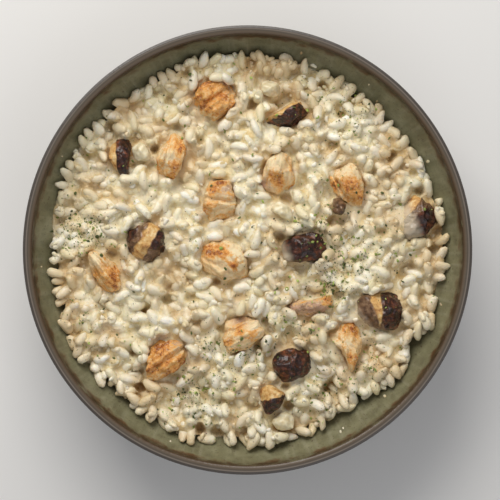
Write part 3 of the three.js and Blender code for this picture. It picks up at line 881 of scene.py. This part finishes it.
def makeRice():
    grains, heights = scatterRice()
    rng = np.random.default_rng(6)
    points = grainPoints(grains, rng)
    food = np.where(onChunk, np.maximum(heights, chunkMap), heights)
    reference = smoothed(np.where(inHeap, food, heapMap), 60)
    material = riceMaterial()
    tones = np.clip(rng.normal(0.5, 0.3, len(grains)), 0, 1)
    makeCopies("looseRice", points, rice["rings"], rice["around"], material, ["risotto"],
               {"tone": tones, "hollowShade": depthUnder(reference, points)})
    makeBits(material, heights, reference)
    return heights, reference


print("rice")
riceMap, foodReference = makeRice()

sauce = {
    "fillet": 1.75,  # radius of the hollow that the sauce makes between two grains
    "below": 0.3,  # the sauce stays this far under the tops of what it wets
    "swells": [(9.0, 0.5), (3.6, 0.34), (1.8, 0.28)],  # size, height
    "grid": 290,
    # pools where the sauce stands higher: x, y, radius, rise
    "pools": [(71, 12, 6, 1.3), (-25, 47, 5, 0.5), (25, -26, 8, 0.4), (48, 18, 4, 0.5), (-43, 2, 3, 0.4),
              (3, 48, 4, 0.4), (-63, 20, 6, 0.4), (14, -8, 5, 0.6)],
    "covers": [(68.0, 11.5, 16.0, 1.9)],  # lobes over a chunk: x, y, spread, rise
    "pitDepth": 0.8, "pitRounds": 24,  # pits are filled to this far under the smoothed rice around them
    "inDips": 0.8,  # share of a dip's depth that the sauce follows
    # height over the heap's form beside a topping and away from it, and how widely it changes between
    "atChunks": -1.0, "offChunks": 1.8, "chunkRounds": 8,
    "thinning": 2.2,  # the sauce thins by this much towards the edge of the heap
    "back": 1.6, "frill": 1.3,  # its edge stays this far inside the heap's, and wanders by this much
    "underside": (0.985, 0.94, 0.8, 0.6, 0.3),
}


def sauceSurface():
    # closing by a ball: the height that a ball of the fillet's radius rolls over, which rounds each gap
    reach = int(sauce["fillet"] / cellSize)
    chunkSide = np.minimum(chunkMap, heapMap) - 2.2
    bumps = np.where(onChunk, np.maximum(chunkSide, heapMap - 4), riceMap)
    bumps = np.where(inHeap, bumps, wallMap - 3)
    closed = -widened(-widened(bumps, reach, sauce["fillet"]), reach, sauce["fillet"])
    # wider pits are filled up to a set depth under the rice around them
    pits = smoothed(riceMap, sauce["pitRounds"]) - sauce["pitDepth"]
    level = np.where(onChunk | ~inHeap, closed, np.maximum(smoothed(closed, 1), pits)) - sauce["below"]
    level -= sauce["inDips"] * dipMap + sauce["thinning"] * ramp(mapRadius - mapEdge, -4.0, 0.0)
    for k, (size, height) in enumerate(sauce["swells"]):
        level += height * cloudNoise(mapSpots, size, 71 + k)
    for x, y, radius, rise in sauce["pools"]:
        level += rise * np.exp(-((mapX - x) ** 2 + (mapY - y) ** 2) / radius**2)
    # the sauce falls away towards each topping, so that its whole outline shows
    fall = heapMap + np.where(onChunk, sauce["atChunks"], sauce["offChunks"])
    fall = smoothed(fall, sauce["chunkRounds"])
    level = np.where(wellInChunk, chunkMap - 3.0, np.minimum(level, fall))
    for x, y, radius, rise in sauce["covers"]:
        cover = float(sampled(foodReference, x, y)) + rise - ((mapX - x) ** 2 + (mapY - y) ** 2) / radius
        level = np.maximum(level, cover + 0.35 * cloudNoise(mapSpots, 3.6, 77))
    return level


def sauceMaterial():
    # Cream sauce thick with starch and melted cheese: warm cream, smooth and glossy, with a deeper,
    # browner painted shade in the hollows.
    material, add = newMaterial("creamSauce")
    place = add("TexCoord").outputs["Object"]
    hollowShade = add("Attribute", attribute_name="hollowShade").outputs["Fac"]
    cloud = add("TexNoise", {"Vector": place, "Scale": 1 / (7.0 * metre), "Detail": 5.0, "Roughness": 0.6})
    patch, fine = (add("TexNoise", {"Vector": place, "Scale": 1 / (size * metre), "Detail": detail})
                   for size, detail in ((creamy["patch"], 5.0), (0.9, 4.0)))
    warm = add("MapRange", {0: patch, 1: 0.44, 2: 0.64, 3: 0.0, 4: 0.9})
    colour = add("ValToRGB", {0: cloud}, stops=[(0.34, "#dcc48e"), (0.47, "#ecddb2"), (0.6, "#f4eacd")])
    # the last colour is painted shade, brown in the hollows
    for share, over in ((warm, "#cfae7c"), (hollowShade, "#a0753a")):
        colour = add("Mix", {0: share, 6: colour, 7: over}, data_type="RGBA")
    bump = add("Bump", {"Height": fine, "Strength": 0.8, "Distance": 0.001})
    shader = add("BsdfPrincipled", {"Base Color": colour, "Normal": bump, **creamy["shader"]})
    add("OutputMaterial", {"Surface": shader})
    return material


def makeSauce():
    # a square grid carried onto the heap's outline: ring r = max(|a|, |b|) of the square goes to the share r
    # of the outline, and the height is the sauce's level. The underside follows the bowl.
    count = sauce["grid"]
    side = np.linspace(-1, 1, count + 1)
    a, b = np.meshgrid(side, side)
    wide = np.abs(a) > np.abs(b)
    r = np.where(wide, a, b)
    angle = np.where(wide, np.pi / 4 * b / np.where(a == 0, 1, a),
                     np.pi / 2 - np.pi / 4 * a / np.where(b == 0, 1, b))
    share, angle = np.abs(r), angle + np.where(r < 0, np.pi, 0)
    frill = cloudNoise(carriedRound(88, angle, 0), 6.0, 78)
    reach = share * (heapEdge(angle) - sauce["back"] + sauce["frill"] * share**6 * frill)
    x, y = reach * np.cos(angle), reach * np.sin(angle)
    level = sauceSurface()
    low = wallHeight(reach) + 0.05
    z = np.where(share > 0.9999, low, np.maximum(sampled(level, x, y), low))
    top = np.stack([x, y, z], -1).reshape(-1, 3)
    index = np.arange((count + 1) ** 2).reshape(count + 1, count + 1)
    quads = np.stack([index[:-1, :-1], index[:-1, 1:], index[1:, 1:], index[1:, :-1]], -1).reshape(-1, 4)
    rim = np.concatenate([index[0, :-1], index[:-1, -1], index[-1, :0:-1], index[:0:-1, 0]])
    rings = []
    for scale in sauce["underside"]:
        ring = top[rim] * np.array([scale, scale, 1])
        ring[:, 2] = wallHeight(np.hypot(ring[:, 0], ring[:, 1])) + 0.05
        rings.append(ring)
    points = np.concatenate([top, *rings, [[0, 0, bowl["floorHeight"] + 0.05]]])
    loops = [rim] + [len(top) + k * len(rim) + np.arange(len(rim)) for k in range(len(rings))]
    sides = [np.stack([outer, inner, np.roll(inner, -1), np.roll(outer, -1)], -1)
             for outer, inner in zip(loops[:-1], loops[1:])]
    last = loops[-1]
    fan = np.stack([last, np.full(len(last), len(points) - 1), np.roll(last, -1)], -1)
    hollowShade = depthUnder(foodReference, points)
    makePiece("creamSauceCore", points, [quads, *sides, fan], sauceMaterial(), ["risotto"],
              {"hollowShade": hollowShade})
    return level


print("sauce")
sauceMap = makeSauce()
foodTop = np.maximum(riceMap, np.where(inHeap, sauceMap, wallMap))
foodTop = np.where(onChunk, np.maximum(foodTop, chunkMap), foodTop)

herbs = {
    "flakes": 2350, "length": (0.4, 2.1), "thickness": 0.12,
    "pepper": 1150, "pepperSize": (0.25, 0.6),
    "driftShare": 0.72, "onChunks": 0.4,  # share in drifts, and share kept of what falls on toppings
    # where the herbs fell thickest: x, y, spread, weight
    "drifts": [(47, 64, 12, 1.4), (51, 0, 16, 1.8), (-77, 9, 9, 1), (-69, 8, 9, 0.8), (33, 8, 12, 1),
               (43, -8, 10, 1), (24, -32, 12, 1.4), (37, -18, 8, 1), (56, -51, 10, 1), (37, -65, 14, 1.3),
               (-19, -63, 12, 1), (-26, -67, 9, 0.7), (-14, -43, 9, 0.7), (-2, -47, 8, 1),
               (-75, -35, 14, 0.8)],
}


def scatterPlaces(rng, wanted):
    # places on the food: a share in drifts, each a bell curve, and the rest evenly over the heap
    drifts = np.array(herbs["drifts"])
    count = wanted * 2
    which = rng.choice(len(drifts), count, p=drifts[:, 3] / drifts[:, 3].sum())
    x = drifts[which, 0] + rng.normal(0, 0.6, count) * drifts[which, 2]
    y = drifts[which, 1] + rng.normal(0, 0.6, count) * drifts[which, 2]
    angle = rng.uniform(0, 2 * np.pi, count)
    radius = np.sqrt(rng.random(count)) * heapEdge(angle) * 0.99
    even = rng.random(count) > herbs["driftShare"]
    x, y = np.where(even, radius * np.cos(angle), x), np.where(even, radius * np.sin(angle), y)
    keep = np.hypot(x, y) < heapEdge(np.arctan2(y, x)) + 1.5
    keep &= ~onChunk[toCell(y), toCell(x)] | (rng.random(count) < herbs["onChunks"])
    return x[keep][:wanted], y[keep][:wanted]


def seasoningMaterial(name, roughness, stops):
    # matt dry flakes or crumbs, each in its own tone
    material, add = newMaterial(name)
    tone = add("Attribute", attribute_name="tone").outputs["Fac"]
    colour = add("ValToRGB", {0: tone}, stops=stops)
    shader = add("BsdfPrincipled", {"Base Color": colour, "Roughness": roughness})
    add("OutputMaterial", {"Surface": shader})
    return material


def makeHerbs():
    # each flake is a thin closed leaf: a ragged six-sided outline, curled along its length and leaning
    # with the food under it
    rng = np.random.default_rng(8)
    x, y = scatterPlaces(rng, herbs["flakes"])
    count = len(x)
    least, most = herbs["length"]
    size = least + (most - least) * rng.random((count, 1)) ** 4
    u = np.linspace(0, 2 * np.pi, 6, endpoint=False)
    ragged = rng.uniform(0.7, 1.2, (count, 6))
    fx, fy = size / 2 * np.cos(u) * ragged, size / 2 * rng.uniform(0.3, 0.9, (count, 1)) * np.sin(u) * ragged
    curl = rng.uniform(-0.25, 0.4, (count, 1)) / size
    turn = rng.uniform(0, 2 * np.pi, (count, 1))
    ax, ay = fx * np.cos(turn) - fy * np.sin(turn), fx * np.sin(turn) + fy * np.cos(turn)
    step = 0.5
    tipX = (sampled(foodTop, x + step, y) - sampled(foodTop, x - step, y)) / (2 * step)
    tipY = (sampled(foodTop, x, y + step) - sampled(foodTop, x, y - step)) / (2 * step)
    tipX, tipY = (np.clip(tip, -1, 1)[:, None] + rng.normal(0, 0.25, (count, 1)) for tip in (tipX, tipY))
    base = sampled(foodTop, x, y) + 0.15
    thick = herbs["thickness"]
    low = np.stack([x[:, None] + ax, y[:, None] + ay,
                    base[:, None] + ax * tipX + ay * tipY + curl * fx**2 - thick / 2], -1)
    ends = np.stack([np.stack([x, y, base + side * thick / 2], -1) for side in (-1, 1)], 1)
    points = np.concatenate([low, low + np.array([0, 0, thick]), ends], 1)
    # Dried parsley: crumpled matt flakes from dull dark green to fresh light green.
    parsley = seasoningMaterial("driedParsley", 0.6, [(0.0, "#404a23"), (0.45, "#76843f"), (0.85, "#9dae54"),
                                                      (1.0, "#bccf6c")])
    makeCopies("parsleyFlakes", points, 2, 6, parsley, (), {"tone": rng.random(count) ** 1.4})


def makePepper():
    # each speck is an uneven crumb: one ring of five points between two ends
    rng = np.random.default_rng(9)
    x, y = scatterPlaces(rng, herbs["pepper"])
    count = len(x)
    u = np.linspace(0, 2 * np.pi, 5, endpoint=False)
    crumb = np.zeros((count, 7, 3))
    crumb[:, :5, 0], crumb[:, :5, 1] = np.cos(u), np.sin(u)
    crumb[:, 5:, 2] = [-1, 1]
    size = rng.uniform(*herbs["pepperSize"], (count, 1, 1))
    base = np.stack([x, y, sampled(foodTop, x, y) + 0.08], -1)[:, None]
    points = crumb * size / 2 * rng.uniform(0.6, 1.3, (count, 7, 3)) + base
    # Black pepper from a mill: dark brown crumbs with some lighter cores.
    ground = seasoningMaterial("groundPepper", 0.7, [(0.0, "#2b2318"), (1.0, "#7b6440")])
    makeCopies("pepperSpecks", points, 1, 5, ground, (), {"tone": rng.random(count)})


print("herbs and pepper")
makeHerbs()
makePepper()

drops = {"count": 11, "size": (0.3, 0.7), "placed": [(81.5, 40, 0.8), (-80, -38, 0.9), (62, -66, 0.7)]}


def makeDrops():
    # splashes of sauce on the bare wall: low domes h = (1 - s^2) tilted with the wall
    rng = np.random.default_rng(10)
    angle = rng.uniform(0, 2 * np.pi, drops["count"])
    reach = heapEdge(angle) + rng.uniform(0.25, 0.9, drops["count"]) * (94 - heapEdge(angle))
    placed = np.array(drops["placed"])
    x = np.append(reach * np.cos(angle), placed[:, 0])
    y = np.append(reach * np.sin(angle), placed[:, 1])
    size = np.append(rng.uniform(*drops["size"], drops["count"]), placed[:, 2])
    s = np.repeat([0.6, 1.0, 0.95, 0.55], 8)
    rise = np.repeat([-0.25, -0.1, 0.25, 0.55], 8)
    u = np.tile(np.linspace(0, 2 * np.pi, 8, endpoint=False), 4)
    s, rise, u = np.append(s, [0, 0]), np.append(rise, [-0.3, 0.65]), np.append(u, [0, 0])
    px = x[:, None] + size[:, None] * s * np.cos(u) * rng.uniform(0.75, 1.2, (len(x), 1))
    py = y[:, None] + size[:, None] * s * np.sin(u)
    pz = wallHeight(np.hypot(px, py)) + size[:, None] * rise
    makeCopies("sauceDrops", np.stack([px, py, pz], -1), 4, 8, bpy.data.materials["creamSauce"], (),
               {"hollowShade": np.zeros(len(x))})


makeDrops()

view = {
    "rise": 900.0,  # of the camera above the rim
    "width": 222.2,  # seen at the rim
    "aside": 1.1,
    # name, place, size, watts, colour
    "lights": [("windowLight", (-180, 640, 600), 640, 7.35, "#fffcf8"),
               ("fillLight", (300, -500, 700), 700, 1.3, "#f4f7ff")],
    "world": ("#f2f2f4", 0.33),
    "floor": "#e6e5e2",
}
cameraData = bpy.data.cameras.new("camera")
cameraData.sensor_width = 36
cameraData.lens = 36 * view["rise"] / view["width"]
camera = bpy.data.objects.new("camera", cameraData)
camera.location = (view["aside"] * metre, 0, (bowlHeight + view["rise"]) * metre)
bpy.context.scene.collection.objects.link(camera)
bpy.context.scene.camera = camera

for name, place, size, watts, tint in view["lights"]:
    lightData = bpy.data.lights.new(name, "AREA")
    lightData.shape = "SQUARE"
    lightData.size = size * metre
    lightData.energy = watts
    lightData.color = linearColour(tint)[:3]
    light = bpy.data.objects.new(name, lightData)
    light.location = np.array(place) * metre
    light.rotation_euler = (-light.location).to_track_quat("-Z", "Y").to_euler()
    bpy.context.scene.collection.objects.link(light)
world = bpy.data.worlds.new("studio")
world.use_nodes = True
world.node_tree.nodes["Background"].inputs["Color"].default_value = linearColour(view["world"][0])
world.node_tree.nodes["Background"].inputs["Strength"].default_value = view["world"][1]
bpy.context.scene.world = world
bpy.context.scene.view_settings.view_transform = "Standard"

floorMaterial, addToFloor = newMaterial("paleFloor")
floorShader = addToFloor("BsdfPrincipled", {"Base Color": view["floor"], "Roughness": 0.8})
addToFloor("OutputMaterial", {"Surface": floorShader})
floorMesh = bpy.data.meshes.new("floor")
floorMesh.from_pydata([(-3, -3, 0), (3, -3, 0), (3, 3, 0), (-3, 3, 0)], [], [(0, 1, 2, 3)])
floorMesh.materials.append(floorMaterial)
floor = bpy.data.objects.new("floor", floorMesh)
bpy.context.scene.collection.objects.link(floor)
